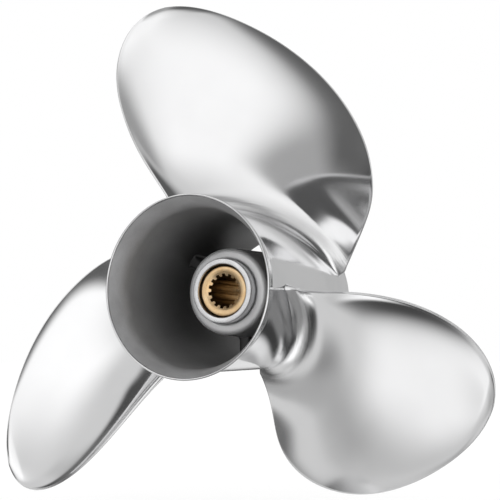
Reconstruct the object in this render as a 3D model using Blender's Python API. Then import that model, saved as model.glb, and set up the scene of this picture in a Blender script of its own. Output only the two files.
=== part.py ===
"""Three-blade stainless boat propeller with through-hub exhaust, in metres.

+Y runs along the shaft towards the bow, -Y is the exhaust mouth, +Z is up.
The shaft axis is X = 0, Z = 0. It drives ahead when it turns clockwise seen from astern.
"""

from math import cos, exp, pi, radians, sin, sqrt, tan

import bmesh
import bpy
from mathutils import Vector

# ---- overall sizes -------------------------------------------------------
DIAMETER = 0.3556  # swept by the blade tips
PITCH = 0.400  # advance in one turn
RAKE = radians(15)  # lean of the blades towards the stern
BLADES = 3
BLADE_STEP = 2 * pi / BLADES

# ---- outer barrel --------------------------------------------------------
BARREL_RADIUS = 0.0493
BARREL_FRONT_WALL = 0.0056  # the bore narrows towards the bow
BARREL_THROAT_WALL = 0.0022  # where the flare starts
FLARE_BEND = 1.5  # 1 is a straight cone; more leaves the barrel more gently
BARREL_FRONT = 0.0634
FLARE_START = -0.0660
MOUTH_Y = -0.0811
MOUTH_RADIUS = 0.0532
MOUTH_LIP = 0.0013  # wall left at the mouth
RIM_ROUND = 0.0008  # chamfer on the front rim

# ---- fits ----------------------------------------------------------------
GAP = 0.0003  # between two pieces that touch

# ---- spline bore ---------------------------------------------------------
TEETH = 15
SPLINE_ROOT_RADIUS = 0.0109
SPLINE_TOOTH_HEIGHT = 0.0015
TOOTH_SHARE = 0.46  # of the spacing that metal takes up, measured half way up
TOOTH_FLANK = 0.07  # of the spacing that each sloping side takes up
TOOTH_PHASE = radians(80.4)
BORE_MOUTH = 0.0010  # how far the chamfer at both ends cuts outside the root circle
BORE_MOUTH_SLOPE = 0.6  # its depth for each unit of radius

# ---- bonded bush, each ring built outwards on the one inside it -----------
SLEEVE_RADIUS = SPLINE_ROOT_RADIUS + 0.00465
SLEEVE_WAIST = 0.00195  # depth of the groove that holds the rubber
SLEEVE_AFT = -0.0315
SLEEVE_FRONT = 0.0600
SLEEVE_COLLAR = 0.0120  # length of each full-size end
EDGE_CHAMFER = 0.0006
LIP_CLEARANCE = 0.00105  # air between the sleeve and the shell's stern lip
RUBBER_WALL = 0.00305  # over the sleeve's full-size ends
SHELL_BORE_RADIUS = SLEEVE_RADIUS + RUBBER_WALL
SHELL_RADIUS = SHELL_BORE_RADIUS + 0.0015
SHELL_AFT = SLEEVE_AFT - 0.0026
SHELL_FRONT = SLEEVE_FRONT - 0.0050
SHELL_LIP = 0.0070  # length of the stern lip
RUBBER_AFT_INSET = 0.0010
RUBBER_FRONT_INSET = 0.0030

# ---- inner hub and ribs --------------------------------------------------
HUB_BORE_RADIUS = SHELL_RADIUS + GAP
HUB_RADIUS = HUB_BORE_RADIUS + 0.0067  # at the stern edge
HUB_TAPER = 0.0039  # how much more it is at the bow end
HUB_AFT = SHELL_AFT + 0.0065
HUB_FRONT = SHELL_FRONT + 0.0010
HUB_SHOULDER = 0.0050  # round on the stern edge
HUB_COUNTERSINK = 0.0016  # chamfer at the stern end of its bore
HUB_CHAMFER = 0.0010
RIB_THICKNESS = 0.0074
RIB_AFT = HUB_AFT + 0.0254
RIB_FRONT = HUB_FRONT - 0.0040
RIB_NOSE = 0.0020  # chamfer on the stern edges of a rib
RIB_ANGLES = (radians(270), radians(30), radians(150))

# ---- blades --------------------------------------------------------------
FOOT_ROUND = 0.0080  # radius of the weld fillet along the root
FOOT_END = 0.6  # how much of that round the foot grows by at its two ends
ROOT_THICKNESS = 0.0100
TIP_THICKNESS = 0.0022
EDGE_THICKNESS = 0.0014
CAMBER = 0.022  # of the chord
CUP_DEPTH = 0.0030
CUP_LENGTH = 0.0080
CUP_FADE = 0.0200  # height over the barrel at which the cup reaches its full depth
# Control points of the blade outline, from the trailing edge at the root, round the
# tip, to the leading edge at the root: share of the blade height, angle in degrees,
# and how far it sits ahead of the raked helix, in millimetres.
OUTLINE = (
    (0.044, 118.4, 5.6),
    (0.103, 116.0, 4.3),
    (0.266, 117.7, -2.1),
    (0.741, 114.2, -1.8),
    (1.076, 102.4, 5.4),
    (0.910, 84.0, -1.3),
    (0.702, 58.5, 1.0),
    (0.390, 33.8, -2.8),
    (0.143, 30.4, 3.6),
    (0.039, 17.5, -11.7),
)
HELIX_ZERO = radians(67)  # angle at which the helix passes Y = 0
RAKE_ZERO = 0.070  # radius at which the rake starts

# ---- mesh fineness -------------------------------------------------------
ROUND_SIDES = 72
BUSH_SIDES = 60
ROUND_STEPS = 4
CHORD_STEPS = 18
SPAN_STEPS = 12
FOOT_STEPS = 3
FLARE_STEPS = 6
CAP_STEPS = 5
RIB_STEPS = 4
CURVE_STEPS = 400


def material(name, color, metallic, roughness):
    made = bpy.data.materials.new(name)
    made.use_nodes = True
    shader = made.node_tree.nodes["Principled BSDF"]
    shader.inputs["Base Color"].default_value = (*color, 1.0)
    shader.inputs["Metallic"].default_value = metallic
    shader.inputs["Roughness"].default_value = roughness
    return made


def add_object(name, points, faces, look, smooth_angle=radians(35)):
    mesh = bpy.data.meshes.new(name)
    mesh.from_pydata([tuple(point) for point in points], [], faces)
    shape = bmesh.new()
    shape.from_mesh(mesh)
    bmesh.ops.recalc_face_normals(shape, faces=shape.faces)
    if shape.calc_volume(signed=True) < 0:
        bmesh.ops.reverse_faces(shape, faces=shape.faces)
    for face in shape.faces:
        face.smooth = True
    for edge in shape.edges:
        edge.smooth = edge.calc_face_angle(0.0) < smooth_angle
    shape.to_mesh(mesh)
    shape.free()
    mesh.materials.append(look)
    made = bpy.data.objects.new(name, mesh)
    bpy.context.scene.collection.objects.link(made)
    return made


def corner(y, radius, size, start, end, steps=ROUND_STEPS):
    """Points of a round of this size about a centre, from one angle to another."""
    turns = [start + (end - start) * i / steps for i in range(steps + 1)]
    return [(y + size * cos(turn), radius + size * sin(turn)) for turn in turns]


def turned(name, outline, sides, look):
    """A ring whose section is the closed outline of (y, radius) points."""
    points = []
    faces = []
    count = len(outline)
    for i in range(sides):
        turn = 2 * pi * i / sides
        points += [Vector((r * cos(turn), y, r * sin(turn))) for y, r in outline]
    for i in range(sides):
        this = i * count
        after = (i + 1) % sides * count
        for j in range(count):
            k = (j + 1) % count
            faces.append((this + j, this + k, after + k, after + j))
    return add_object(name, points, faces, look)


def flare_share(y):
    """How far along the flare this is: 0 where it starts, 1 at the mouth's round."""
    share = (FLARE_START - y) / (FLARE_START - MOUTH_Y - MOUTH_LIP / 2)
    return min(max(share, 0.0), 1.0)


def barrel_surface(y):
    """Radius of the barrel's outside."""
    return BARREL_RADIUS + (MOUTH_RADIUS - BARREL_RADIUS) * flare_share(y) ** FLARE_BEND


def barrel_bore(y):
    """Radius of the barrel's inside, ahead of the flare."""
    share = (y - FLARE_START) / (BARREL_FRONT - FLARE_START)
    wall = BARREL_THROAT_WALL + (BARREL_FRONT_WALL - BARREL_THROAT_WALL) * share
    return BARREL_RADIUS - wall


def hub_surface(y):
    """Radius of the inner hub's outside, ahead of its shoulder."""
    share = (y - HUB_AFT) / (HUB_FRONT - HUB_AFT)
    return HUB_RADIUS + HUB_TAPER * share


def barrel_outline():
    """The flared tube with a rolled lip, its section going round counter-clockwise."""
    front_bore = barrel_bore(BARREL_FRONT)
    flare = []
    back = []
    for i in range(FLARE_STEPS + 1):
        share = i / FLARE_STEPS
        y = FLARE_START + (MOUTH_Y + MOUTH_LIP / 2 - FLARE_START) * share
        wall = BARREL_THROAT_WALL + (MOUTH_LIP - BARREL_THROAT_WALL) * share
        flare.append((y, barrel_surface(y)))
        back.append((y, barrel_surface(y) - wall))
    lip = corner(
        MOUTH_Y + MOUTH_LIP / 2,
        MOUTH_RADIUS - MOUTH_LIP / 2,
        MOUTH_LIP / 2,
        pi / 2,
        3 * pi / 2,
    )
    front = [
        (BARREL_FRONT - RIM_ROUND, front_bore),
        (BARREL_FRONT, front_bore + RIM_ROUND),
        (BARREL_FRONT, BARREL_RADIUS - RIM_ROUND),
        (BARREL_FRONT - RIM_ROUND, BARREL_RADIUS),
    ]
    return front + flare[:-1] + lip + back[-2::-1]


def hub_outline():
    shoulder = corner(
        HUB_AFT + HUB_SHOULDER,
        HUB_RADIUS - HUB_SHOULDER,
        HUB_SHOULDER,
        pi / 2,
        pi,
        6,
    )
    return [
        (HUB_FRONT, HUB_BORE_RADIUS),
        (HUB_FRONT, hub_surface(HUB_FRONT) - HUB_CHAMFER),
        (HUB_FRONT - HUB_CHAMFER, hub_surface(HUB_FRONT - HUB_CHAMFER)),
        *shoulder,
        (HUB_AFT, HUB_BORE_RADIUS + HUB_COUNTERSINK),
        (HUB_AFT + HUB_COUNTERSINK, HUB_BORE_RADIUS),
    ]


def shell_outline():
    step = SHELL_AFT + SHELL_LIP
    lip = SLEEVE_RADIUS + LIP_CLEARANCE
    return [
        (SHELL_FRONT, SHELL_BORE_RADIUS),
        (SHELL_FRONT, SHELL_RADIUS - EDGE_CHAMFER),
        (SHELL_FRONT - EDGE_CHAMFER, SHELL_RADIUS),
        (SHELL_AFT + EDGE_CHAMFER, SHELL_RADIUS),
        (SHELL_AFT, SHELL_RADIUS - EDGE_CHAMFER),
        (SHELL_AFT, lip + EDGE_CHAMFER),
        (SHELL_AFT + EDGE_CHAMFER, lip),
        (step, lip),
        (step, SHELL_BORE_RADIUS),
    ]


def rubber_outline():
    outer = SHELL_BORE_RADIUS - GAP
    waist = SLEEVE_RADIUS - SLEEVE_WAIST + GAP
    collar = SLEEVE_RADIUS + GAP
    start = SHELL_AFT + SHELL_LIP + RUBBER_AFT_INSET
    end = SHELL_FRONT - RUBBER_FRONT_INSET
    waist_start = SLEEVE_AFT + SLEEVE_COLLAR + GAP
    waist_end = SLEEVE_FRONT - SLEEVE_COLLAR - GAP
    return [
        (end, collar),
        (end, outer),
        (start, outer),
        (start, collar),
        (waist_start, collar),
        (waist_start, waist),
        (waist_end, waist),
        (waist_end, collar),
    ]


def tooth_radius(turn):
    """Radius of the spline bore at this angle, from the root circle to the tooth tops."""
    spacing = 2 * pi / TEETH
    off = abs((turn - TOOTH_PHASE + spacing / 2) % spacing - spacing / 2) / spacing
    rise = (TOOTH_SHARE / 2 + TOOTH_FLANK / 2 - off) / TOOTH_FLANK
    return SPLINE_ROOT_RADIUS - SPLINE_TOOTH_HEIGHT * min(max(rise, 0.0), 1.0)


def tooth_turns():
    """The angles at which the bore changes direction, six to a tooth."""
    spacing = 2 * pi / TEETH
    inner = TOOTH_SHARE / 2 - TOOTH_FLANK / 2
    outer = TOOTH_SHARE / 2 + TOOTH_FLANK / 2
    stops = (-outer, -inner, 0.0, inner, outer, 0.5)
    return [
        TOOTH_PHASE + spacing * (tooth + stop)
        for tooth in range(TEETH)
        for stop in stops
    ]


def sleeve(look):
    """The splined sleeve: round outside with a waist, toothed inside."""
    collar_aft = SLEEVE_AFT + SLEEVE_COLLAR
    collar_front = SLEEVE_FRONT - SLEEVE_COLLAR
    waist = SLEEVE_RADIUS - SLEEVE_WAIST
    outside = [
        (SLEEVE_FRONT, SLEEVE_RADIUS - EDGE_CHAMFER),
        (SLEEVE_FRONT - EDGE_CHAMFER, SLEEVE_RADIUS),
        (collar_front, SLEEVE_RADIUS),
        (collar_front, waist),
        (collar_aft, waist),
        (collar_aft, SLEEVE_RADIUS),
        (SLEEVE_AFT + EDGE_CHAMFER, SLEEVE_RADIUS),
        (SLEEVE_AFT, SLEEVE_RADIUS - EDGE_CHAMFER),
    ]
    turns = tooth_turns()
    mouth = SPLINE_ROOT_RADIUS + BORE_MOUTH
    points = []
    for turn in turns:
        tooth = tooth_radius(turn)
        deep = (mouth - tooth) * BORE_MOUTH_SLOPE
        ring = outside + [
            (SLEEVE_AFT, mouth),
            (SLEEVE_AFT + deep, tooth),
            (SLEEVE_FRONT - deep, tooth),
            (SLEEVE_FRONT, mouth),
        ]
        points += [Vector((r * cos(turn), y, r * sin(turn))) for y, r in ring]
    count = len(points) // len(turns)
    faces = []
    for i in range(len(turns)):
        this = i * count
        after = (i + 1) % len(turns) * count
        for j in range(count):
            k = (j + 1) % count
            faces.append((this + j, this + k, after + k, after + j))
    return add_object("spline_sleeve", points, faces, look, radians(25))


def rib(name, angle, look):
    """A straight web from the inner hub to the barrel, its ends following both curves."""
    half = RIB_THICKNESS / 2
    sides = [half - RIB_THICKNESS * i / RIB_STEPS for i in range(RIB_STEPS + 1)]
    points = []
    for y, narrow in ((RIB_AFT, RIB_NOSE), (RIB_AFT + RIB_NOSE, 0.0), (RIB_FRONT, 0.0)):
        for radius in (hub_surface(y) + GAP, barrel_bore(y) - GAP):
            for side in sides:
                across = side * (half - narrow) / half
                along = sqrt(radius**2 - across**2)
                x = along * cos(angle) - across * sin(angle)
                z = along * sin(angle) + across * cos(angle)
                points.append(Vector((x, y, z)))
    row = len(sides)
    layer = 2 * row
    faces = []
    for i in range(row - 1):
        faces.append((i, i + 1, row + i + 1, row + i))
        last = 2 * layer
        faces.append((last + i, last + row + i, last + row + i + 1, last + i + 1))
    for step in range(2):
        here = step * layer
        there = here + layer
        for i in range(row - 1):
            faces.append((here + i, there + i, there + i + 1, here + i + 1))
            far = here + row + i
            faces.append((far, far + 1, far + layer + 1, far + layer))
        faces.append((here, here + row, there + row, there))
        end = row - 1
        faces.append((here + end, there + end, there + row + end, here + row + end))
    return add_object(name, points, faces, look)


def spline_weights(share, count, degree=3):
    """Weights of the control points of a clamped uniform B-spline at 0..1."""
    inner = count - degree
    knots = [0.0] * degree + [i / inner for i in range(inner + 1)] + [1.0] * degree
    share = min(max(share, 0.0), 1.0 - 1e-9)
    weights = [1.0 if knots[i] <= share < knots[i + 1] else 0.0 for i in range(len(knots) - 1)]
    for order in range(1, degree + 1):
        raised = []
        for i in range(len(weights) - 1):
            left = knots[i + order] - knots[i]
            right = knots[i + order + 1] - knots[i + 1]
            value = 0.0
            if left > 0:
                value += (share - knots[i]) / left * weights[i]
            if right > 0:
                value += (knots[i + order + 1] - share) / right * weights[i + 1]
            raised.append(value)
        weights = raised
    return weights


def outline_controls():
    """The control points as (radius, angle, y)."""
    controls = []
    tip = DIAMETER / 2
    for height, degrees, ahead in OUTLINE:
        radius = BARREL_RADIUS + height * (tip - BARREL_RADIUS)
        angle = radians(degrees)
        helix = -PITCH * (angle - HELIX_ZERO) / (2 * pi)
        y = helix - tan(RAKE) * (radius - RAKE_ZERO) + ahead / 1000
        controls.append((radius, angle, y))
    return controls


def outline_point(controls, share):
    weights = spline_weights(share, len(controls))
    return [sum(w * c[axis] for w, c in zip(weights, controls)) for axis in range(3)]


def blade_rows():
    """Rows of (pressure side, suction side) points in (radius, angle, y), root first."""
    controls = outline_controls()
    curve = [outline_point(controls, i / CURVE_STEPS) for i in range(CURVE_STEPS + 1)]
    tip = max(range(CURVE_STEPS + 1), key=lambda i: curve[i][0])
    tip_share = tip / CURVE_STEPS
    stretch = (DIAMETER / 2 - BARREL_RADIUS) / (curve[tip][0] - BARREL_RADIUS)
    rows = []
    heights = []
    for i in range(FOOT_STEPS):
        heights.append((i / FOOT_STEPS, 0.0))
    for i in range(SPAN_STEPS + 1):
        heights.append((1.0, sin(pi / 2 * i / SPAN_STEPS * 0.985)))
    for rise, span in heights:
        trailing = outline_point(controls, tip_share * span)
        leading = outline_point(controls, 1 - (1 - tip_share) * span)
        ends = []
        for radius, angle, y in (trailing, leading):
            radius = BARREL_RADIUS + (radius - BARREL_RADIUS) * stretch
            ends.append((radius, angle, y))
        rows.append(section(*ends, rise**1.6))
    return rows


def section(trailing, leading, rise):
    """One row across the blade, in the surface of a cylinder about the shaft.

    Rise is 1 on the blade itself and falls to 0 where its foot meets the barrel.
    """
    middle = (trailing[0] + leading[0]) / 2
    across = (leading[1] - trailing[1]) * middle
    along = leading[2] - trailing[2]
    chord = sqrt(across**2 + along**2)
    normal = (along / chord, -across / chord)  # round the shaft, and towards the bow
    tip = DIAMETER / 2
    above = (middle - BARREL_RADIUS) * rise
    height = above / (tip - BARREL_RADIUS)
    thick = ROOT_THICKNESS + (TIP_THICKNESS - ROOT_THICKNESS) * height**0.8
    thick = min(thick, 0.30 * chord)
    edge = min(EDGE_THICKNESS, 0.6 * thick)
    near = max(1 - max(above, GAP) / FOOT_ROUND, 0.0)
    fillet = FOOT_ROUND * (1 - sqrt(max(1 - near**2, 0.0)))
    pressure = []
    suction = []
    for i in range(CHORD_STEPS + 1):
        even = i / CHORD_STEPS
        u = ((1 - cos(pi * even)) / 2 + even) / 2
        bow = CAMBER * chord * 4 * u * (1 - u)
        cup = CUP_DEPTH * (1 - u) * (1 - exp(-u * chord / CUP_LENGTH)) * min(1.0, chord / 0.05)
        cup = cup * sin(pi / 2 * min(max(above / CUP_FADE, 0.0), 1.0)) ** 2
        body = edge + (thick - edge) * (4 * u * (1 - u)) ** 0.6
        lean = bow + cup
        slide = fillet * FOOT_END * (2 * u - 1)
        for side, offset in ((pressure, lean - fillet), (suction, lean + body + fillet)):
            radius = trailing[0] + (leading[0] - trailing[0]) * u
            angle = trailing[1] + (leading[1] - trailing[1]) * u
            y = trailing[2] + along * u
            arc = offset * normal[0] + slide * across / chord
            y += offset * normal[1] + slide * along / chord
            foot = barrel_surface(y) + GAP
            side.append((foot + (radius - foot) * rise, angle + arc / radius, y))
    return pressure, suction


def foot_point(a, b, share):
    """A point on the underside of the foot, which follows the barrel."""
    angle = a[1] + (b[1] - a[1]) * share
    y = a[2] + (b[2] - a[2]) * share
    return barrel_surface(y) + GAP, angle, y


def place(point, turn):
    radius, angle, y = point
    return Vector((radius * cos(angle + turn), y, radius * sin(angle + turn)))


def blade(name, turn, look):
    """One blade: rings of points joined up, a foot that follows the barrel, a closed tip."""
    rows = blade_rows()
    points = []
    faces = []
    ring = 2 * (CHORD_STEPS + 1)
    for pressure, suction in rows:
        points += [place(point, turn) for point in pressure]
        points += [place(point, turn) for point in reversed(suction)]
    for row in range(len(rows) - 1):
        here = row * ring
        there = here + ring
        for i in range(ring):
            j = (i + 1) % ring
            faces.append((here + i, here + j, there + j, there + i))
    last = (len(rows) - 1) * ring
    for i in range(CHORD_STEPS):
        faces.append((last + i, last + i + 1, last + ring - 2 - i, last + ring - 1 - i))
    pressure, suction = rows[0]
    grid = []
    for i in range(CHORD_STEPS + 1):
        line = [i]
        for step in range(1, CAP_STEPS):
            line.append(len(points))
            points.append(place(foot_point(pressure[i], suction[i], step / CAP_STEPS), turn))
        line.append(ring - 1 - i)
        grid.append(line)
    for i in range(CHORD_STEPS):
        for step in range(CAP_STEPS):
            near, far = grid[i], grid[i + 1]
            faces.append((near[step], near[step + 1], far[step + 1], far[step]))
    ends = (grid[0], grid[CHORD_STEPS])
    for line in ends:
        faces = split_end(faces, line)
    return add_object(name, points, faces, look)


def split_end(faces, line):
    """Gives the side face that runs along the end of the foot the foot's extra points."""
    first = line[0]
    last = line[-1]
    kept = []
    for face in faces:
        if first in face and last in face and len(face) == 4 and not set(line[1:-1]) & set(face):
            i = face.index(first)
            if face[(i + 1) % 4] == last:
                face = face[: i + 1] + tuple(line[1:-1]) + face[i + 1 :]
            elif face[(i - 1) % 4] == last:
                face = face[:i] + tuple(reversed(line[1:-1])) + face[i:]
        kept.append(face)
    return kept


def main():
    for old in list(bpy.data.objects):
        bpy.data.objects.remove(old, do_unlink=True)
    steel = material("polished_stainless", (0.78, 0.79, 0.80), 1.0, 0.12)
    cast = material("blasted_stainless", (0.42, 0.42, 0.43), 0.9, 0.45)
    machined = material("machined_steel", (0.72, 0.72, 0.73), 1.0, 0.25)
    brass = material("brass", (0.86, 0.62, 0.36), 1.0, 0.30)
    rubber = material("black_rubber", (0.02, 0.02, 0.02), 0.0, 0.75)

    turned("hub_barrel", barrel_outline(), ROUND_SIDES, steel)
    turned("inner_hub", hub_outline(), BUSH_SIDES, cast)
    turned("bush_shell", shell_outline(), BUSH_SIDES, machined)
    turned("rubber_bushing", rubber_outline(), BUSH_SIDES, rubber)
    sleeve(brass)
    for i, angle in enumerate(RIB_ANGLES):
        rib(f"rib_{i + 1}", angle, cast)
    for i in range(BLADES):
        blade(f"blade_{i + 1}", -i * BLADE_STEP, steel)


main()
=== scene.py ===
"""Studio picture of the stainless boat propeller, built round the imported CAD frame."""

from math import cos, pi, radians, sin, sqrt, tan

import bmesh
import bpy
import numpy as np
from mathutils import Matrix, Vector


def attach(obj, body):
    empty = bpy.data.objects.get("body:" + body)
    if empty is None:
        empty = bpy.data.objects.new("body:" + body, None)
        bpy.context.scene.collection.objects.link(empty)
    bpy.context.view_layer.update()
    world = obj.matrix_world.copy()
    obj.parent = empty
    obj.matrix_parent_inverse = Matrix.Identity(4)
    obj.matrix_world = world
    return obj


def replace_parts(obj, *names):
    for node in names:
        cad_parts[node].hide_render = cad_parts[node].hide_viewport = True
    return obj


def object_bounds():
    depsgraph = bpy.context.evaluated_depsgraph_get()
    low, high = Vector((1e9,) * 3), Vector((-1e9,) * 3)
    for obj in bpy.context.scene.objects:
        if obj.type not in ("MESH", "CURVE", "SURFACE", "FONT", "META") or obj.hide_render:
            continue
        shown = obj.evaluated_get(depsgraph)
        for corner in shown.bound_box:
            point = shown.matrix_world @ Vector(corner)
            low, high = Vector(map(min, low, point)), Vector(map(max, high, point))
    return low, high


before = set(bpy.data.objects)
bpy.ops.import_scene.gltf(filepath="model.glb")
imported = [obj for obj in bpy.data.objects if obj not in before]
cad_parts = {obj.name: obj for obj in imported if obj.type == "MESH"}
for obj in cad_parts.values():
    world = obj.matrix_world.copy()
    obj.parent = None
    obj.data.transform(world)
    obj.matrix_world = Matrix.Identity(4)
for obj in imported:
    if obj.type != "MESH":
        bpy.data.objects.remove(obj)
cad_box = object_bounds()

# ---- sizes, metres: the same propeller as the CAD ------------------------
DIAMETER = 0.3556
PITCH = 0.400
RAKE = radians(15)
BARREL_RADIUS = 0.0493
BARREL_FRONT_WALL = 0.0056
BARREL_THROAT_WALL = 0.0022
BARREL_FRONT = 0.0634
FLARE_START = -0.0660
FLARE_BEND = 1.5
MOUTH_Y = -0.0811
MOUTH_RADIUS = 0.0532
MOUTH_LIP = 0.0013
HUB_RADIUS = 0.0271
HUB_TAPER = 0.0039
HUB_AFT = -0.0276
HUB_FRONT = 0.0560
RIB_THICKNESS = 0.0074
RIB_AFT = HUB_AFT + 0.0254
RIB_FRONT = HUB_FRONT - 0.0040
RIB_NOSE = 0.0020
SHELL_BORE_RADIUS = 0.0186
SHELL_RADIUS = 0.0201
SHELL_AFT = -0.0341
SHELL_FRONT = 0.0550
SHELL_LIP = 0.0070
LIP_CLEARANCE = 0.00105
SLEEVE_RADIUS = 0.01555
SLEEVE_WAIST = 0.00195
SLEEVE_AFT = -0.0315
SLEEVE_FRONT = 0.0600
SLEEVE_COLLAR = 0.0120
SPLINE_ROOT_RADIUS = 0.0109
SPLINE_TOOTH_HEIGHT = 0.0015
BORE_MOUTH = 0.0010
BORE_MOUTH_SLOPE = 0.6
TEETH = 15
TOOTH_SHARE = 0.46
TOOTH_FLANK = 0.07
TOOTH_PHASE = radians(80.4)
RIB_ANGLES = (radians(270), radians(30), radians(150))
# Control points of the blade outline, from the trailing edge at the root, round the
# tip, to the leading edge at the root: share of the blade height, angle in degrees,
# and how far it sits ahead of the raked helix, in millimetres.
OUTLINE = (
    (0.044, 118.4, 5.6),
    (0.103, 116.0, 4.3),
    (0.266, 117.7, -2.1),
    (0.741, 114.2, -1.8),
    (1.076, 102.4, 5.4),
    (0.910, 84.0, -1.3),
    (0.702, 58.5, 1.0),
    (0.390, 33.8, -2.8),
    (0.143, 30.4, 3.6),
    (0.039, 17.5, -11.7),
)
HELIX_ZERO = radians(67)  # angle at which the helix passes Y = 0
RAKE_ZERO = 0.070  # radius at which the rake starts
FOOT_ROUND = 0.0080
FOOT_END = 0.6  # how much of the fillet the foot grows by at its two ends
ROOT_THICKNESS = 0.0100
TIP_THICKNESS = 0.0022
EDGE_THICKNESS = 0.0014
CAMBER = 0.022
CUP_DEPTH = 0.0030
CUP_LENGTH = 0.0080
CUP_FADE = 0.0200  # height over the barrel at which the cup has its full depth
EDGE_ROLL = 0.0010  # how far in from an edge its rounding starts
EDGE_LIFT = 0.5  # share of the edge's thickness that the rounding takes off
FOOT_TAPER = 0.030  # length over which the fillet grows to full size from each end
FOOT_START = 0.45  # its share of full size at the very ends
EDGE_BULGE = 0.0012  # how far an edge's round end stands out
MOST_THICKNESS = 0.30  # the thickest a section gets, as a share of its chord
MOST_EDGE = 0.6  # the thickest an edge gets, as a share of the section
MOST_ROLL = 0.25  # the furthest in the rounding starts, as a share of the chord
THINNING = 0.8  # exponent of the thickness over the height: below 1, quicker near the root
FULLNESS = 0.6  # exponent of the section's swell: below 1, fuller than a parabola
CUP_FULL_CHORD = 0.05  # chord from which the cup has its full depth
FOOT_CROWDING = 1.6  # exponent that crowds a blade's rings towards its foot
TIP_REACH = 0.992  # how near the last ring comes to the tip, as a share of a quarter turn
FRONT_BORE_ROUND = 0.0012
FRONT_EDGE_ROUND = 0.0008
SLEEVE_EDGE_ROUND = 0.0008
RUBBER_SETBACK = 0.003  # how far the rubber stays back from the ring's front end
RUBBER_AFT_GAP = 0.001  # between the ring's inner lip and the rubber
RUBBER_COLLAR_GAP = 0.0005  # between the sleeve's stern collar and the rubber's narrow part
SHELL_GAP = 0.0002  # between the inner hub's bore and the ring pressed into it
WELD_INNER = 0.0540  # radii between which the dressed weld's grain dies away
WELD_OUTER = 0.0660
FILLET_LEAD = 0.0005  # how far up its own curve the fillet starts
BORE_BREAK = 0.0002  # the broken edges of the spline bore's countersink

# ---- stage and camera ----------------------------------------------------
FLOOR_DROP = 0.05  # from the lowest blade tip to the floor
CAMERA_PLACE = (0.2420, -0.5035, -0.0326)
CAMERA_AIM = (-0.4259, 0.8982, 0.1089)  # the way it looks
CAMERA_LENS = 61.76  # millimetres
CAMERA_SENSOR = 36

# ---- meshes --------------------------------------------------------------
ROLL_COLS = 6  # columns of a blade's mesh on each rounded edge


def new_piece(name, points, faces, body, materials, slots=None, sharp=radians(40)):
    """A smooth-shaded mesh piece that rides on a CAD body."""
    mesh = bpy.data.meshes.new(name)
    mesh.from_pydata([tuple(p) for p in points], [], faces)
    for material in materials:
        mesh.materials.append(material)
    if slots is not None:
        mesh.polygons.foreach_set("material_index", slots)
    shape = bmesh.new()
    shape.from_mesh(mesh)
    bmesh.ops.recalc_face_normals(shape, faces=shape.faces)
    if shape.calc_volume(signed=True) < 0:
        bmesh.ops.reverse_faces(shape, faces=shape.faces)
    for face in shape.faces:
        face.smooth = True
    for edge in shape.edges:
        edge.smooth = edge.calc_face_angle(0.0) < sharp
    shape.to_mesh(mesh)
    shape.free()
    piece = bpy.data.objects.new(name, mesh)
    bpy.context.scene.collection.objects.link(piece)
    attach(piece, body)
    return piece


def arc(y, radius, size, start, end, steps):
    """Points (y, radius) on an arc about (y, radius), from one angle to another."""
    turns = [start + (end - start) * i / steps for i in range(steps + 1)]
    return [(y + size * cos(t), radius + size * sin(t)) for t in turns]


def rounded(outline, sizes, steps):
    """The closed outline with each corner rounded to its own radius."""
    made = []
    count = len(outline)
    for i in range(count):
        here = Vector(outline[i])
        before = Vector(outline[i - 1])
        after = Vector(outline[(i + 1) % count])
        size = sizes[i]
        if size <= 0:
            made.append(tuple(here))
            continue
        a = (before - here).normalized()
        b = (after - here).normalized()
        half = a.angle(b) / 2
        if half > radians(88):
            made.append(tuple(here))
            continue
        back = min(size / tan(half), (before - here).length * 0.45, (after - here).length * 0.45)
        size = back * tan(half)
        centre = here + (a + b).normalized() * (size / sin(half))
        first = here + a * back - centre
        last = here + b * back - centre
        turn = first.angle_signed(last)
        for k in range(steps + 1):
            share = k / steps
            spun = first.copy()
            spun.rotate(Matrix.Rotation(-turn * share, 2))
            made.append(tuple(centre + spun))
    return made


def turned(name, outline, sides, body, materials, slot_of=None, sharp=radians(40)):
    """A ring whose section is the closed outline of (y, radius) points."""
    outline = [tuple(p) for p in outline]
    count = len(outline)
    turn = np.arange(sides) * 2 * pi / sides
    ys = np.array([p[0] for p in outline])
    rs = np.array([p[1] for p in outline])
    points = np.stack(
        [
            np.outer(np.cos(turn), rs),
            np.broadcast_to(ys, (sides, count)),
            np.outer(np.sin(turn), rs),
        ],
        -1,
    ).reshape(-1, 3)
    faces = []
    slots = []
    for i in range(sides):
        this = i * count
        after = (i + 1) % sides * count
        for j in range(count):
            k = (j + 1) % count
            faces.append((this + j, this + k, after + k, after + j))
            slots.append(slot_of(outline[j], outline[k]) if slot_of else 0)
    return new_piece(name, points, faces, body, materials, slots, sharp)


def flare_share(y):
    """How far into the flare y is: 0 in the straight barrel, 1 at the mouth."""
    share = (FLARE_START - y) / (FLARE_START - MOUTH_Y - MOUTH_LIP / 2)
    return np.clip(share, 0.0, 1.0)


def barrel_surface(y):
    """The barrel's outer radius."""
    return BARREL_RADIUS + (MOUTH_RADIUS - BARREL_RADIUS) * flare_share(y) ** FLARE_BEND


def barrel_bore(y):
    """The bore's radius ahead of the flare, where the wall thickens towards the bow."""
    share = (y - FLARE_START) / (BARREL_FRONT - FLARE_START)
    return BARREL_RADIUS - BARREL_THROAT_WALL - (BARREL_FRONT_WALL - BARREL_THROAT_WALL) * share


def hub_surface(y):
    """The inner hub's outer radius."""
    return HUB_RADIUS + HUB_TAPER * (y - HUB_AFT) / (HUB_FRONT - HUB_AFT)


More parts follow.
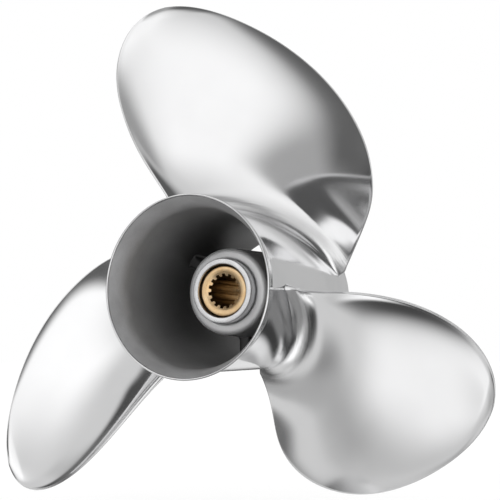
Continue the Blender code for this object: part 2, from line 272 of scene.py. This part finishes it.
def barrel(steel, cast):
    """The exhaust barrel, polished outside and on its rims, as cast in its bore."""
    steps = 24
    out = []
    back = []
    for i in range(steps + 1):
        share = i / steps
        y = FLARE_START + (MOUTH_Y + MOUTH_LIP / 2 - FLARE_START) * share
        wall = BARREL_THROAT_WALL + (MOUTH_LIP - BARREL_THROAT_WALL) * share
        out.append((y, barrel_surface(y)))
        back.append((y, barrel_surface(y) - wall))
    lip = arc(MOUTH_Y + MOUTH_LIP / 2, MOUTH_RADIUS - MOUTH_LIP / 2, MOUTH_LIP / 2, pi / 2, 3 * pi / 2, 12)
    bore = barrel_bore(BARREL_FRONT)
    inner = FRONT_BORE_ROUND
    outer = FRONT_EDGE_ROUND
    front = arc(BARREL_FRONT - inner, bore + inner, inner, -pi / 2, 0, 6)
    front += arc(BARREL_FRONT - outer, BARREL_RADIUS - outer, outer, 0, pi / 2, 6)
    length = [BARREL_FRONT + (FLARE_START - BARREL_FRONT) * i / 20 for i in range(1, 20)]
    outside = [(y, BARREL_RADIUS) for y in length]
    inside = [(y, barrel_bore(y)) for y in reversed(length)]
    outline = front + outside + out[:-1] + lip + back[-2::-1] + inside

    def slot_of(a, b):
        radius = (a[1] + b[1]) / 2
        y = (a[0] + b[0]) / 2
        polished = radius > barrel_surface(y) - MOUTH_LIP / 2
        mouth_rim = y < MOUTH_Y + MOUTH_LIP / 2
        front_rim = y > BARREL_FRONT - FRONT_BORE_ROUND / 2
        return 0 if polished or mouth_rim or front_rim else 1

    piece = turned("barrel_casting", outline, 288, "propeller", [steel, cast], slot_of)
    return piece


def bspline(shares, controls, degree=3):
    """Points on a clamped B-spline, at these shares of its knots from end to end."""
    count = len(controls)
    inner = count - degree
    knots = np.concatenate([[0.0] * degree, np.arange(inner + 1) / inner, [1.0] * degree])
    shares = np.clip(np.asarray(shares, float), 0, 1 - 1e-9)
    weights = ((knots[None, :-1] <= shares[:, None]) & (shares[:, None] < knots[None, 1:])).astype(float)
    for order in range(1, degree + 1):
        raised = np.zeros((len(shares), weights.shape[1] - 1))
        for i in range(weights.shape[1] - 1):
            left = knots[i + order] - knots[i]
            right = knots[i + order + 1] - knots[i + 1]
            if left > 0:
                raised[:, i] += (shares - knots[i]) / left * weights[:, i]
            if right > 0:
                raised[:, i] += (knots[i + order + 1] - shares) / right * weights[:, i + 1]
        weights = raised
    return weights @ np.asarray(controls)


def outline_controls():
    """The outline's control points as (radius, angle, y) on the raked helix."""
    made = []
    for height, degrees, ahead in OUTLINE:
        radius = BARREL_RADIUS + height * (DIAMETER / 2 - BARREL_RADIUS)
        angle = radians(degrees)
        y = -PITCH * (angle - HELIX_ZERO) / (2 * pi) - tan(RAKE) * (radius - RAKE_ZERO) + ahead / 1000
        made.append((radius, angle, y))
    return made


def section(trailing, leading, rise, cols, rounds, sink):
    """One closed ring of (radius, angle, y) round the blade at this height."""
    middle = (trailing[0] + leading[0]) / 2
    across = (leading[1] - trailing[1]) * middle
    along = leading[2] - trailing[2]
    chord = sqrt(across**2 + along**2)
    ahead = np.array([along / chord, -across / chord])
    forward = np.array([across / chord, along / chord])
    above = (middle - BARREL_RADIUS) * rise
    height = above / (DIAMETER / 2 - BARREL_RADIUS)
    thick = ROOT_THICKNESS + (TIP_THICKNESS - ROOT_THICKNESS) * height**THINNING
    thick = min(thick, MOST_THICKNESS * chord)
    edge = min(EDGE_THICKNESS, MOST_EDGE * thick)
    near = max(1 - (above + FILLET_LEAD) / FOOT_ROUND, 0.0)
    fillet = FOOT_ROUND * (1 - sqrt(max(1 - near**2, 0.0)))
    roll = min(EDGE_ROLL, MOST_ROLL * chord)
    rolled = roll / chord * (1 - np.cos(np.linspace(0, pi / 2, ROLL_COLS, endpoint=False)))
    even = np.linspace(0, 1, cols + 1 - 2 * ROLL_COLS)
    inner = roll / chord + (1 - 2 * roll / chord) * ((1 - np.cos(pi * even)) / 2 + even) / 2
    u = np.concatenate([rolled, inner, 1 - rolled[::-1]])
    from_end = np.minimum(u, 1 - u) * chord
    fillet = fillet * (FOOT_START + (1 - FOOT_START) * np.sin(pi / 2 * np.clip(from_end / FOOT_TAPER, 0, 1)))
    bow = CAMBER * chord * 4 * u * (1 - u)
    cup = CUP_DEPTH * (1 - u) * (1 - np.exp(-u * chord / CUP_LENGTH)) * min(1.0, chord / CUP_FULL_CHORD)
    cup = cup * sin(pi / 2 * min(max(above / CUP_FADE, 0.0), 1.0)) ** 2
    body = edge + (thick - edge) * (4 * u * (1 - u)) ** FULLNESS
    lift = EDGE_LIFT * edge * (1 - np.sqrt(1 - np.clip(1 - from_end / roll, 0, 1) ** 2))
    low = bow + cup + lift * (1 - near) - fillet
    high = bow + cup + body + fillet
    slide = fillet * FOOT_END * (2 * u - 1)
    turn = np.linspace(0, pi, rounds + 2)[1:-1]
    half_le = (high[-1] - low[-1]) / 2
    half_te = (high[0] - low[0]) / 2
    bulge_le = min(half_le, EDGE_BULGE + fillet[-1])
    bulge_te = min(half_te, EDGE_BULGE + fillet[0])
    us = np.concatenate([u, np.full(rounds, 1.0), u[::-1], np.full(rounds, 0.0)])
    slides = np.concatenate(
        [
            slide,
            slide[-1] + bulge_le * np.sin(turn),
            slide[::-1],
            slide[0] - bulge_te * np.sin(turn),
        ]
    )
    offsets = np.concatenate(
        [
            low,
            (low[-1] + high[-1]) / 2 - half_le * np.cos(turn),
            high[::-1],
            (low[0] + high[0]) / 2 + half_te * np.cos(turn),
        ]
    )
    radius = trailing[0] + (leading[0] - trailing[0]) * us
    angle = trailing[1] + (leading[1] - trailing[1]) * us
    y = trailing[2] + along * us
    arc_length = offsets * ahead[0] + slides * forward[0]
    y = y + offsets * ahead[1] + slides * forward[1]
    foot = barrel_surface(y) - sink
    final = foot + (radius - foot) * rise
    return np.stack([final, angle + arc_length / radius, y], -1)


def blade(name, turn, node, material, cols=72, spans=80, feet=14, rounds=6, sink=0.0006):
    """A blade lofted through rings: first up its fillet, then up to its tip."""
    controls = outline_controls()
    shares = np.linspace(0, 1, 4001)
    curve = bspline(shares, controls)
    tip_share = shares[curve[:, 0].argmax()]
    stretch = (DIAMETER / 2 - BARREL_RADIUS) / (curve[:, 0].max() - BARREL_RADIUS)
    heights = [(i / feet, 0.0) for i in range(feet)]
    heights += [(1.0, sin(pi / 2 * i / spans * TIP_REACH)) for i in range(spans + 1)]
    rings = []
    for rise, span in heights:
        ends = []
        for share in (tip_share * span, 1 - (1 - tip_share) * span):
            radius, angle, y = bspline([share], controls)[0]
            ends.append((BARREL_RADIUS + (radius - BARREL_RADIUS) * stretch, angle, y))
        rings.append(section(*ends, rise**FOOT_CROWDING, cols, rounds, sink))
    rings = np.array(rings)
    count, ring = rings.shape[:2]
    flat = rings.reshape(-1, 3)
    points = np.stack(
        [flat[:, 0] * np.cos(flat[:, 1] + turn), flat[:, 2], flat[:, 0] * np.sin(flat[:, 1] + turn)], -1
    )
    faces = []
    for row in range(count - 1):
        here = row * ring
        there = here + ring
        for i in range(ring):
            j = (i + 1) % ring
            faces.append((here + i, here + j, there + j, there + i))
    last = (count - 1) * ring
    top = cols + 1 + rounds
    for base in (0, last):
        for i in range(cols):
            faces.append((base + i, base + i + 1, base + top + cols - i - 1, base + top + cols - i))
        le = [base + cols] + [base + cols + 1 + k for k in range(rounds)] + [base + top]
        te = [base + top + cols] + [base + top + cols + 1 + k for k in range(rounds)] + [base]
        faces.append(tuple(le))
        faces.append(tuple(te))
    piece = new_piece(name, points, faces, "propeller", [material], sharp=radians(50))
    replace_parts(piece, node)


def tooth_radius(turn):
    """The bore's radius at this angle: the spaces, or in to the top of a tooth."""
    spacing = 2 * pi / TEETH
    off = abs((turn - TOOTH_PHASE + spacing / 2) % spacing - spacing / 2) / spacing
    rise = (TOOTH_SHARE / 2 + TOOTH_FLANK / 2 - off) / TOOTH_FLANK
    return SPLINE_ROOT_RADIUS - SPLINE_TOOTH_HEIGHT * min(max(rise, 0.0), 1.0)


def sleeve(brass, bore_brass):
    """The splined sleeve: rounded collars, a waist, and teeth behind a countersink."""
    edge = SLEEVE_EDGE_ROUND
    aft_collar = SLEEVE_AFT + SLEEVE_COLLAR
    front_collar = SLEEVE_FRONT - SLEEVE_COLLAR
    waist = SLEEVE_RADIUS - SLEEVE_WAIST
    outside = arc(SLEEVE_FRONT - edge, SLEEVE_RADIUS - edge, edge, 0, pi / 2, 5)
    outside += [
        (front_collar, SLEEVE_RADIUS),
        (front_collar, waist),
        (aft_collar, waist),
        (aft_collar, SLEEVE_RADIUS),
    ]
    outside += arc(SLEEVE_AFT + edge, SLEEVE_RADIUS - edge, edge, pi / 2, pi, 5)
    flank = (TOOTH_SHARE - TOOTH_FLANK) / 2
    foot = (TOOTH_SHARE + TOOTH_FLANK) / 2
    corner = 0.012
    stops = (
        -foot - corner,
        -foot + corner,
        -flank - corner,
        -flank + corner,
        -flank / 2,
        0.0,
        flank / 2,
        flank - corner,
        flank + corner,
        foot - corner,
        foot + corner,
        0.42,
        0.5,
        0.58,
    )
    spacing = 2 * pi / TEETH
    turns = [TOOTH_PHASE + spacing * (tooth + stop) for tooth in range(TEETH) for stop in stops]
    mouth = SPLINE_ROOT_RADIUS + BORE_MOUTH
    points = []
    for turn in turns:
        tooth = tooth_radius(turn)
        deep = (mouth - tooth) * BORE_MOUTH_SLOPE
        ring = outside + [
            (SLEEVE_AFT, mouth + BORE_BREAK),
            (SLEEVE_AFT + BORE_BREAK / 2, mouth),
            (SLEEVE_AFT + deep, tooth + BORE_BREAK / 4),
            (SLEEVE_AFT + deep + BORE_BREAK, tooth),
            (SLEEVE_FRONT - deep, tooth),
            (SLEEVE_FRONT, mouth),
        ]
        points += [(r * cos(turn), y, r * sin(turn)) for y, r in ring]
    count = len(points) // len(turns)
    bore_side = count - 3
    faces = []
    slots = []
    for i in range(len(turns)):
        this = i * count
        after = (i + 1) % len(turns) * count
        for j in range(count):
            k = (j + 1) % count
            faces.append((this + j, this + k, after + k, after + j))
            slots.append(1 if j == bore_side else 0)
    metals = [brass, bore_brass]
    piece = new_piece("splined_sleeve", points, faces, "shaft_sleeve", metals, slots, radians(28))
    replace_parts(piece, "spline_sleeve")


def rib(name, angle, node, material, rows=16, across=8, nose=6, root=0.0030, sink=0.0004):
    """A web with a round nose, which spreads into the hub and the barrel at its two ends."""
    half = RIB_THICKNESS / 2
    stations = []
    for i in range(nose + 1):
        turn = pi / 2 * i / nose
        stations.append((RIB_AFT + RIB_NOSE * (1 - cos(turn)), RIB_NOSE * (1 - sin(turn))))
    stations += [(RIB_AFT + (RIB_FRONT - RIB_AFT) * i / 6, 0.0) for i in range(1, 7)]
    points = []
    for y, narrow in stations:
        low = hub_surface(y) - sink
        high = barrel_bore(y) + sink
        left = []
        for i in range(rows + 1):
            share = (1 - cos(pi * i / rows)) / 2
            off = min(share, 1 - share) * (high - low)
            near = max(1 - off / root, 0.0)
            spread = half - narrow + root * (1 - sqrt(1 - near**2))
            left.append((low + (high - low) * share, spread))
        ring = [(radius, spread) for radius, spread in left]
        ring += [(high, left[-1][1] * (1 - 2 * i / across)) for i in range(1, across)]
        ring += [(radius, -spread) for radius, spread in reversed(left)]
        ring += [(low, left[0][1] * (2 * i / across - 1)) for i in range(1, across)]
        for radius, side in ring:
            along = sqrt(radius**2 - side**2)
            points.append(
                (along * cos(angle) - side * sin(angle), y, along * sin(angle) + side * cos(angle))
            )
    count = len(points) // len(stations)
    faces = []
    for layer in range(len(stations) - 1):
        here = layer * count
        for i in range(count):
            j = (i + 1) % count
            faces.append((here + i, here + j, here + count + j, here + count + i))
    last = (len(stations) - 1) * count
    for base in (0, last):
        for i in range(rows):
            left_low = base + i
            right_low = base + 2 * rows + across - i
            faces.append((left_low, left_low + 1, right_low - 1, right_low))
        faces.append(tuple(base + rows + i for i in range(across + 1)))
        underside = [base + count - i for i in range(1, across)]
        faces.append((base, *underside, base + 2 * rows + across))
    piece = new_piece(name, points, faces, "propeller", [material], sharp=radians(50))
    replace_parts(piece, node)


# ---- materials -----------------------------------------------------------
class Look:
    """One procedural material; positions are the piece's own, in metres."""

    def __init__(self, name, color, metallic, roughness):
        self.material = bpy.data.materials.new(name)
        self.material.use_nodes = True
        self.tree = self.material.node_tree
        self.shader = self.tree.nodes["Principled BSDF"]
        self.shader.inputs["Base Color"].default_value = (*color, 1.0)
        self.shader.inputs["Metallic"].default_value = metallic
        self.shader.inputs["Roughness"].default_value = roughness
        self.place = self.tree.nodes.new("ShaderNodeTexCoord").outputs["Object"]
        split = self.tree.nodes.new("ShaderNodeSeparateXYZ")
        self.tree.links.new(self.place, split.inputs[0])
        self.x, self.y, self.z = split.outputs
        x_squared = self.math("MULTIPLY", self.x, self.x)
        z_squared = self.math("MULTIPLY", self.z, self.z)
        squares = self.math("ADD", x_squared, z_squared)
        self.radius = self.math("SQRT", squares)
        self.turn = self.math("ARCTAN2", self.z, self.x)

    def feed(self, socket, value):
        """Sets the socket to a number, or links another socket to it."""
        if isinstance(value, (int, float)):
            socket.default_value = value
        else:
            self.tree.links.new(value, socket)

    def math(self, operation, first, second=None):
        node = self.tree.nodes.new("ShaderNodeMath")
        node.operation = operation
        self.feed(node.inputs[0], first)
        if second is not None:
            self.feed(node.inputs[1], second)
        return node.outputs[0]

    def stretched(self, radius, y, turn):
        """Coordinates about the shaft, each multiplied by its own number."""
        node = self.tree.nodes.new("ShaderNodeCombineXYZ")
        self.feed(node.inputs[0], self.math("MULTIPLY", self.radius, radius))
        self.feed(node.inputs[1], self.math("MULTIPLY", self.y, y))
        self.feed(node.inputs[2], self.math("MULTIPLY", self.turn, turn))
        return node.outputs[0]

    def noise(self, place, scale, detail=4.0, rough=0.55):
        node = self.tree.nodes.new("ShaderNodeTexNoise")
        self.tree.links.new(place, node.inputs["Vector"])
        node.inputs["Scale"].default_value = scale
        node.inputs["Detail"].default_value = detail
        node.inputs["Roughness"].default_value = rough
        return node.outputs["Fac"]

    def spread(self, value, low, high, to_low, to_high):
        """Maps low..high smoothly onto to_low..to_high."""
        node = self.tree.nodes.new("ShaderNodeMapRange")
        node.interpolation_type = "SMOOTHSTEP"
        self.tree.links.new(value, node.inputs["Value"])
        for name, number in zip(("From Min", "From Max", "To Min", "To Max"), (low, high, to_low, to_high)):
            node.inputs[name].default_value = number
        return node.outputs["Result"]

    def tint(self, value, dark, light):
        """The base colour, between two colours."""
        node = self.tree.nodes.new("ShaderNodeMix")
        node.data_type = "RGBA"
        self.feed(node.inputs["Factor"], value)
        node.inputs[6].default_value = (*dark, 1.0)
        node.inputs[7].default_value = (*light, 1.0)
        self.tree.links.new(node.outputs[2], self.shader.inputs["Base Color"])

    def cover(self, value, color):
        """Lays another colour over the tint, as far as the value says."""
        node = self.tree.nodes.new("ShaderNodeMix")
        node.data_type = "RGBA"
        base = self.shader.inputs["Base Color"]
        self.feed(node.inputs["Factor"], value)
        self.tree.links.new(base.links[0].from_socket, node.inputs[6])
        node.inputs[7].default_value = (*color, 1.0)
        self.tree.links.new(node.outputs[2], base)

    def rough(self, value):
        self.tree.links.new(value, self.shader.inputs["Roughness"])

    def bump(self, height, distance, strength=1.0):
        """Adds a layer of relief over those added before it."""
        node = self.tree.nodes.new("ShaderNodeBump")
        node.inputs["Distance"].default_value = distance
        node.inputs["Strength"].default_value = strength
        self.tree.links.new(height, node.inputs["Height"])
        taken = self.shader.inputs["Normal"]
        if taken.is_linked:
            self.tree.links.new(taken.links[0].from_socket, node.inputs["Normal"])
        self.tree.links.new(node.outputs["Normal"], taken)


def blade_steel():
    """Mirror polish, with the weld at the root dressed by hand along the chord."""
    look = Look("polished_blade_steel", (0.84, 0.84, 0.845), 1.0, 0.1)
    root = look.spread(look.radius, WELD_INNER, WELD_OUTER, 1.0, 0.0)
    strokes = look.noise(look.stretched(1.0, 0.030, 0.0035), 2600.0, 3.0)
    wide_strokes = look.noise(look.stretched(1.0, 0.030, 0.0035), 700.0, 3.0)
    cloud = look.noise(look.place, 26.0, 5.0)
    fine = look.noise(look.stretched(1.0, 0.25, 0.012), 5200.0, 2.0)
    polish = look.spread(cloud, 0.30, 0.72, 0.060, 0.120)
    worn = look.math("MULTIPLY", root, look.spread(wide_strokes, 0.30, 0.70, 0.04, 0.17))
    look.rough(look.math("ADD", polish, worn))
    look.tint(look.spread(cloud, 0.3, 0.7, 0.0, 1.0), (0.82, 0.82, 0.825), (0.85, 0.85, 0.855))
    look.bump(fine, 0.0000012)
    look.bump(look.math("MULTIPLY", wide_strokes, root), 0.00007)
    look.bump(look.math("MULTIPLY", strokes, root), 0.00004)
    return look.material


def barrel_steel():
    """Polished on a lathe: faint rings round the barrel, and soft blotches in its gloss and tone."""
    look = Look("polished_barrel_steel", (0.83, 0.83, 0.835), 1.0, 0.1)
    cloud = look.noise(look.place, 30.0, 5.0)
    rings = look.noise(look.stretched(1.0, 1.0, 0.0008), 2800.0, 3.0)
    look.rough(look.spread(cloud, 0.30, 0.70, 0.070, 0.140))
    look.tint(look.spread(cloud, 0.3, 0.7, 0.0, 1.0), (0.78, 0.78, 0.785), (0.84, 0.84, 0.845))
    look.bump(rings, 0.0000040)
    return look.material


def blasted_steel(name, dark, light, rough_low, rough_high, painted_depth_shade=False):
    """As cast and bead blasted: fine pits, soft blotches, and, where asked, painted shade that darkens the
    bore deeper in the exhaust.
    """
    look = Look(name, light, 0.55, 0.45)
    blotch = look.noise(look.place, 45.0, 6.0, 0.6)
    grain = look.noise(look.place, 2600.0, 3.0)
    pits = look.noise(look.place, 700.0, 3.0)
    shade = look.spread(blotch, 0.30, 0.70, 0.0, 1.0)
    look.tint(shade, dark, light)
    if painted_depth_shade:
        # painted shade: the colour darkens towards the bow, deeper inside the bore, with the blotches
        # breaking up its edge
        painted_shade_color = (0.055, 0.054, 0.053)
        shade_depth = look.math("ADD", look.y, look.math("MULTIPLY", shade, 0.006))
        thin = look.spread(shade_depth, FLARE_START - 0.004, FLARE_START + 0.005, 0.0, 0.42)
        thick = look.spread(shade_depth, FLARE_START + 0.005, 0.016, 0.0, 0.56)
        look.cover(look.math("ADD", thin, thick), painted_shade_color)
    look.rough(look.spread(grain, 0.30, 0.70, rough_low, rough_high))
    look.bump(pits, 0.00010)
    look.bump(grain, 0.00004)
    return look.material


def turned_metal(name, dark, light, rough_low, rough_high, cut=0.000010):
    """Turned on a lathe: concentric tool marks, a little tarnish."""
    look = Look(name, light, 1.0, 0.25)
    marks = look.noise(look.stretched(1.0, 1.0, 0.0006), 5200.0, 2.0)
    tarnish = look.noise(look.place, 160.0, 5.0)
    look.tint(look.spread(tarnish, 0.30, 0.70, 0.0, 1.0), dark, light)
    look.rough(look.spread(marks, 0.30, 0.70, rough_low, rough_high))
    look.bump(marks, cut)
    return look.material


def moulded_rubber():
    """Matt black, with a fine grain."""
    look = Look("bush_rubber", (0.015, 0.015, 0.015), 0.0, 0.7)
    grain = look.noise(look.place, 1800.0, 4.0)
    look.tint(grain, (0.010, 0.010, 0.010), (0.030, 0.029, 0.028))
    look.rough(look.spread(grain, 0.30, 0.70, 0.55, 0.85))
    look.bump(grain, 0.00008)
    return look.material


# ---- the pieces ----------------------------------------------------------
def build_pieces():
    """Every visual piece, each in place of its own CAD solid."""
    blades = blade_steel()
    barrel_outside = barrel_steel()
    # as-cast steel of the bore and the webs, with painted shade darkening it deeper in the bore
    cast = blasted_steel("bore_steel_with_painted_shade", (0.50, 0.50, 0.505), (0.62, 0.62, 0.625), 0.35, 0.52, True)
    hub_cast = blasted_steel("blasted_hub_steel", (0.78, 0.78, 0.785), (0.91, 0.91, 0.915), 0.34, 0.50)
    ring = turned_metal("machined_ring_steel", (0.74, 0.74, 0.75), (0.84, 0.84, 0.85), 0.20, 0.34)
    brass = turned_metal("turned_brass", (0.90, 0.61, 0.32), (1.00, 0.75, 0.46), 0.26, 0.38)
    # the spline bore's brass: darker and glossier than the outside of the sleeve
    bore_brass = turned_metal("darker_bore_brass", (0.62, 0.50, 0.34), (0.76, 0.62, 0.44), 0.16, 0.26, 0.000003)
    rubber = moulded_rubber()

    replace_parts(barrel(barrel_outside, cast), "hub_barrel")
    hub_rounds = [0.0004, 0.0012, 0.0050, 0.0017]  # front bore, front rim, stern shoulder, stern bore
    hub = rounded(
        [
            (HUB_FRONT, SHELL_RADIUS + SHELL_GAP),
            (HUB_FRONT, hub_surface(HUB_FRONT)),
            (HUB_AFT, HUB_RADIUS),
            (HUB_AFT, SHELL_RADIUS + SHELL_GAP),
        ],
        hub_rounds,
        12,
    )
    hub_piece = turned("inner_hub_casting", hub, 192, "propeller", [hub_cast])
    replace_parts(hub_piece, "inner_hub")

    lip = SLEEVE_RADIUS + LIP_CLEARANCE
    step = SHELL_AFT + SHELL_LIP
    shell_rounds = [0.0004, 0.0006, 0.0005, 0.0005, 0.0002, 0.0]
    shell = rounded(
        [
            (SHELL_FRONT, SHELL_BORE_RADIUS),
            (SHELL_FRONT, SHELL_RADIUS),
            (SHELL_AFT, SHELL_RADIUS),
            (SHELL_AFT, lip),
            (step, lip),
            (step, SHELL_BORE_RADIUS),
        ],
        shell_rounds,
        5,
    )
    shell_piece = turned("bush_ring", shell, 192, "propeller", [ring])
    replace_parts(shell_piece, "bush_shell")

    snug = 0.0001  # the rubber's clearance to the metal round it
    rubber_front = SHELL_FRONT - RUBBER_SETBACK
    rubber_aft = step + RUBBER_AFT_GAP
    collar_end = SLEEVE_AFT + SLEEVE_COLLAR + RUBBER_COLLAR_GAP
    rubber_rounds = [0.0008, 0.0008, 0.0008, 0.0003, 0.0, 0.0]
    rubber_ring = rounded(
        [
            (rubber_front, SLEEVE_RADIUS - SLEEVE_WAIST + snug),
            (rubber_front, SHELL_BORE_RADIUS - snug),
            (rubber_aft, SHELL_BORE_RADIUS - snug),
            (rubber_aft, SLEEVE_RADIUS + snug),
            (collar_end, SLEEVE_RADIUS + snug),
            (collar_end, SLEEVE_RADIUS - SLEEVE_WAIST + snug),
        ],
        rubber_rounds,
        5,
    )
    rubber_piece = turned("bush_rubber_ring", rubber_ring, 144, "propeller", [rubber])
    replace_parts(rubber_piece, "rubber_bushing")

    sleeve(brass, bore_brass)
    for i, angle in enumerate(RIB_ANGLES):
        rib(f"web_{i + 1}", angle, f"rib_{i + 1}", cast)
    for i in range(3):
        blade(f"blade_skin_{i + 1}", -i * 2 * pi / 3, f"blade_{i + 1}", blades)


build_pieces()


# ---- stage ---------------------------------------------------------------
class Studio:
    """An even white dome, in which reflections see grey with soft panels from dark to bright.

    Azimuth 0 is towards the stern and 90 towards +X; elevation is above the horizon.
    """

    def __init__(self, grey):
        world = bpy.data.worlds.new("studio")
        bpy.context.scene.world = world
        world.use_nodes = True
        self.tree = world.node_tree
        self.background = self.tree.nodes["Background"]
        split = self.tree.nodes.new("ShaderNodeSeparateXYZ")
        way = self.tree.nodes.new("ShaderNodeTexCoord").outputs["Generated"]
        self.tree.links.new(way, split.inputs[0])
        x, y, z = split.outputs
        self.azimuth = self.math("ARCTAN2", x, self.math("MULTIPLY", y, -1.0))
        self.elevation = self.math("ARCSINE", z)
        self.level = grey

    def math(self, operation, first, second=None):
        node = self.tree.nodes.new("ShaderNodeMath")
        node.operation = operation
        for socket, value in zip(node.inputs, (first, second)):
            if isinstance(value, (int, float)):
                socket.default_value = value
            elif value is not None:
                self.tree.links.new(value, socket)
        return node.outputs[0]

    def inside(self, off, reach, soft):
        """One within reach of the centre and zero beyond it, with a soft edge."""
        node = self.tree.nodes.new("ShaderNodeMapRange")
        node.interpolation_type = "SMOOTHSTEP"
        self.tree.links.new(off, node.inputs["Value"])
        numbers = (radians(reach - soft), radians(reach + soft), 1.0, 0.0)
        for name, number in zip(("From Min", "From Max", "To Min", "To Max"), numbers):
            node.inputs[name].default_value = number
        return node.outputs["Result"]

    def panel(self, azimuth, elevation, width, height, soft, grey, soft_up=None):
        """A rectangle of this grey, all its sizes in degrees."""
        turns = self.math("DIVIDE", self.math("SUBTRACT", self.azimuth, radians(azimuth)), 2 * pi)
        near = self.math("SUBTRACT", self.math("FRACT", self.math("ADD", turns, 0.5)), 0.5)
        across = self.math("ABSOLUTE", self.math("MULTIPLY", near, 2 * pi))
        up = self.math("ABSOLUTE", self.math("SUBTRACT", self.elevation, radians(elevation)))
        share = self.math(
            "MULTIPLY",
            self.inside(across, width / 2, soft),
            self.inside(up, height / 2, soft if soft_up is None else soft_up),
        )
        mix = self.tree.nodes.new("ShaderNodeMix")
        self.tree.links.new(share, mix.inputs["Factor"])
        if isinstance(self.level, float):
            mix.inputs["A"].default_value = self.level
        else:
            self.tree.links.new(self.level, mix.inputs["A"])
        mix.inputs["B"].default_value = grey
        self.level = mix.outputs["Result"]

    def light(self):
        """Lets reflections see the panels, and everything else a plain white dome."""
        path = self.tree.nodes.new("ShaderNodeLightPath")
        mix = self.tree.nodes.new("ShaderNodeMix")
        self.tree.links.new(path.outputs["Is Glossy Ray"], mix.inputs["Factor"])
        mix.inputs["A"].default_value = 1.0
        self.tree.links.new(self.level, mix.inputs["B"])
        self.tree.links.new(mix.outputs["Result"], self.background.inputs["Strength"])
        self.background.inputs["Color"].default_value = (1.0, 1.0, 1.0, 1.0)


def light_studio():
    """A pale grey dome with dark flags and bright boards; a later panel covers an earlier one."""
    studio = Studio(0.70)
    # the floor's grey, and the dark overhead
    studio.panel(0, -78, 360, 70, 6, 0.28)
    studio.panel(30, -58, 110, 52, 8, 0.42)
    studio.panel(0, 88, 360, 44, 8, 0.12)
    # low down: dark flags on both sides, and two boards to starboard
    studio.panel(-95, -55, 76, 22, 7, 0.06)
    studio.panel(125, -50, 110, 26, 8, 0.10)
    studio.panel(100, -20, 50, 22, 4, 1.30)
    studio.panel(60, -36, 20, 20, 5, 1.05)
    # dark flags below and to port of dead astern
    studio.panel(-22, -55, 30, 40, 14, 0.05, 10)
    studio.panel(-6, -43, 24, 20, 8, 0.13)
    studio.panel(-31, -16, 26, 34, 6, 0.14)
    studio.panel(-58, 12, 38, 20, 4, 0.12)
    # the main boards: to starboard, to port, high astern and near dead astern
    studio.panel(34, -8, 52, 44, 12, 1.12)
    studio.panel(-68, -27, 34, 28, 9, 1.05)
    studio.panel(-28, 46, 72, 26, 12, 1.20)
    studio.panel(-24, 6, 24, 20, 6, 1.10)
    # dark flags high on both sides
    studio.panel(112, 33, 62, 82, 9, 0.11, 3.5)
    studio.panel(-126, 20, 50, 90, 8, 0.10)
    studio.panel(-112, 36, 28, 34, 6, 0.14)
    studio.panel(-107, 28, 30, 26, 4, 0.08)
    # greys abeam to port
    studio.panel(-87, 16, 34, 18, 4, 0.18)
    studio.panel(-88, -12, 34, 16, 8, 0.46)
    studio.panel(-91, 1, 34, 7, 3, 0.70)
    # greys above the starboard board
    studio.panel(7, 42, 16, 22, 5, 0.12)
    studio.panel(48, 26, 56, 16, 6, 0.36)
    # ahead of the object, seen along edges and fillets
    studio.panel(-140, -56, 56, 24, 6, 1.30)
    studio.panel(158, 10, 36, 60, 8, 0.54)
    studio.panel(193, 6, 36, 36, 5, 0.04)
    studio.panel(-160, -25, 30, 24, 5, 0.85)
    studio.light()


def lay_floor(height):
    """A pale disc under the object, which reflections skip."""
    mesh = bpy.data.meshes.new("floor")
    sides = 48
    size = 6.0
    turns = [2 * pi * i / sides for i in range(sides)]
    points = [(size * cos(turn), size * sin(turn), height) for turn in turns]
    mesh.from_pydata(points, [], [tuple(range(sides))])
    floor = bpy.data.objects.new("floor", mesh)
    bpy.context.scene.collection.objects.link(floor)
    look = bpy.data.materials.new("pale_floor")
    look.use_nodes = True
    shader = look.node_tree.nodes["Principled BSDF"]
    shader.inputs["Base Color"].default_value = (0.93, 0.93, 0.93, 1.0)
    shader.inputs["Roughness"].default_value = 0.9
    shader.inputs["Specular IOR Level"].default_value = 0.0
    shader.inputs["Emission Color"].default_value = (1.0, 1.0, 1.0, 1.0)
    shader.inputs["Emission Strength"].default_value = 0.10
    mesh.materials.append(look)
    floor.visible_glossy = False


def place_camera():
    """Off to starboard of dead astern, and a little below level."""
    lens = bpy.data.cameras.new("camera")
    camera = bpy.data.objects.new("camera", lens)
    bpy.context.scene.collection.objects.link(camera)
    bpy.context.scene.camera = camera
    lens.sensor_width = CAMERA_SENSOR
    lens.lens = CAMERA_LENS
    lens.clip_start = 0.01
    camera.location = CAMERA_PLACE
    camera.rotation_mode = "QUATERNION"
    camera.rotation_quaternion = Vector(CAMERA_AIM).to_track_quat("-Z", "Y")


light_studio()
lay_floor(cad_box[0][2] - FLOOR_DROP)
place_camera()
bpy.context.scene.view_settings.view_transform = "Standard"
